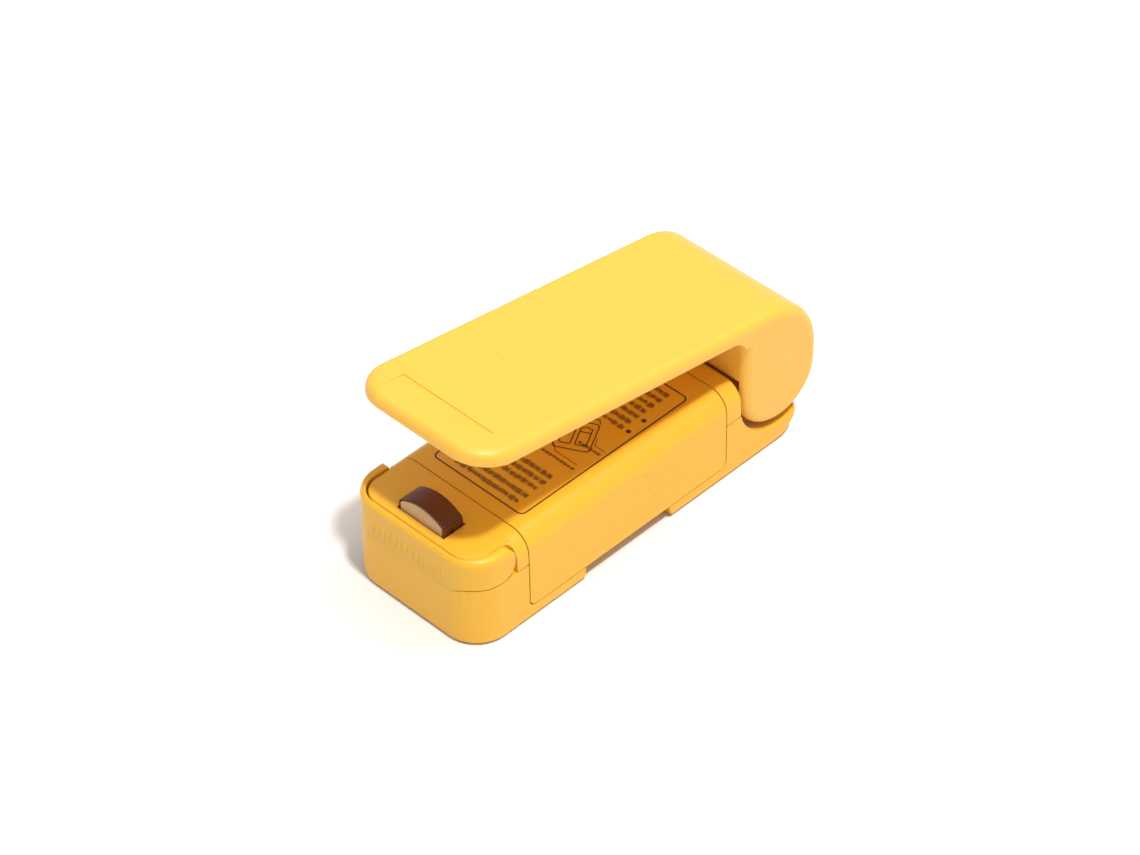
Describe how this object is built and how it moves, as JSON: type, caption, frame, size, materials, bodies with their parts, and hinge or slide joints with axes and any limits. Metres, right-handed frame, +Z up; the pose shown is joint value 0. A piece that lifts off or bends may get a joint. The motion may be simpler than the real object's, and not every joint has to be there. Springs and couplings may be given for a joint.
{
  "type": "handheld bag heat sealer",
  "caption": "Pocket battery heat sealer for plastic bags: spring lever over a boxy body with a sprung hot bar at the nose, a swing-over safety guard and a lift-off battery cover.",
  "frame": {"origin": "middle of the underside, on the floor plane", "axes": "+X to the right seen from the nose, -Y towards the nose where the jaw opens, +Z up from the underside to the lever"},
  "size_m": [0.039, 0.105, 0.0517],
  "materials": {
    "yellow_abs": "fine satin grain",
    "yellow_lever_abs": "fine satin grain",
    "heater_plastic": "matte, heat resistant",
    "heater_tape": "woven glass cloth coated with PTFE",
    "nichrome": "bright rolled strip",
    "silicone": "matte",
    "nickel_plate": "nickel plated",
    "spring_steel": "bright drawn",
    "brass": "bright",
    "cell_wrap": "shrink sleeve",
    "wire_red": "insulated lead",
    "wire_black": "insulated lead"
  },
  "bodies": {
    "base": {"bottom_case": "yellow_abs", "upper_chassis": "yellow_abs", "lever_spring": "spring_steel", "heater_spring_left": "spring_steel", "heater_spring_right": "spring_steel", "switch_contact": "brass", "lead_wire_left": "wire_red", "lead_wire_right": "wire_black", "contact_plate_left": "nickel_plate", "contact_plate_right": "nickel_plate", "contact_bridge": "nickel_plate", "contact_spring_front": "nickel_plate", "contact_spring_rear": "nickel_plate", "case_screw_front_left": "spring_steel", "case_screw_front_right": "spring_steel", "case_screw_rear_left": "spring_steel", "case_screw_rear_right": "spring_steel"},
    "lever": {"lever_arm": "yellow_lever_abs", "lever_liner": "yellow_abs", "anvil_pad": "silicone", "hinge_pin": "spring_steel"},
    "guard": {"safety_guard": "yellow_abs"},
    "heater": {"heater_block": "heater_plastic", "heater_ribbon": "nichrome", "heater_tape": "heater_tape", "switch_blade": "brass"},
    "cover": {"battery_cover": "yellow_abs"},
    "cell_left": {"battery_cell_left": "cell_wrap"},
    "cell_right": {"battery_cell_right": "cell_wrap"}
  },
  "joints": [
    {"name": "lever_hinge", "type": "hinge", "parent": "base", "child": "lever", "pos_m": [0, 0.0412, 0.0215], "axis": [-1, 0, 0], "range_deg": [-12.9, 0], "stiffness_Nm_per_rad": 0.5, "springref_deg": 17.19, "deforming": ["lever_spring"]},
    {"name": "guard_pivot", "type": "hinge", "parent": "base", "child": "guard", "pos_m": [0, -0.0427, 0.0214], "axis": [-1, 0, 0], "range_deg": [0, 90]},
    {"name": "heater_press", "type": "slide", "parent": "base", "child": "heater", "axis": [0, 0, 1], "range_m": [-0.0011, 0], "stiffness_N_per_m": 60, "springref_m": 0.0005, "deforming": ["heater_spring_left", "heater_spring_right"]},
    {"name": "cover_lift", "type": "slide", "parent": "base", "child": "cover", "axis": [0, 0, 1], "range_m": [0, 0.012]},
    {"name": "cell_left_turn", "type": "hinge", "parent": "base", "child": "cell_left", "pos_m": [-0.00745, -0.00835, 0.0121], "axis": [0, 1, 0], "range_deg": [-180, 180]},
    {"name": "cell_right_turn", "type": "hinge", "parent": "base", "child": "cell_right", "pos_m": [0.00745, -0.00405, 0.0121], "axis": [0, 1, 0], "range_deg": [-180, 180]}
  ],
  "couplings": [
    {"joint": "heater_press", "follows": "lever_hinge", "m_per_rad": 0.00488}
  ]
}
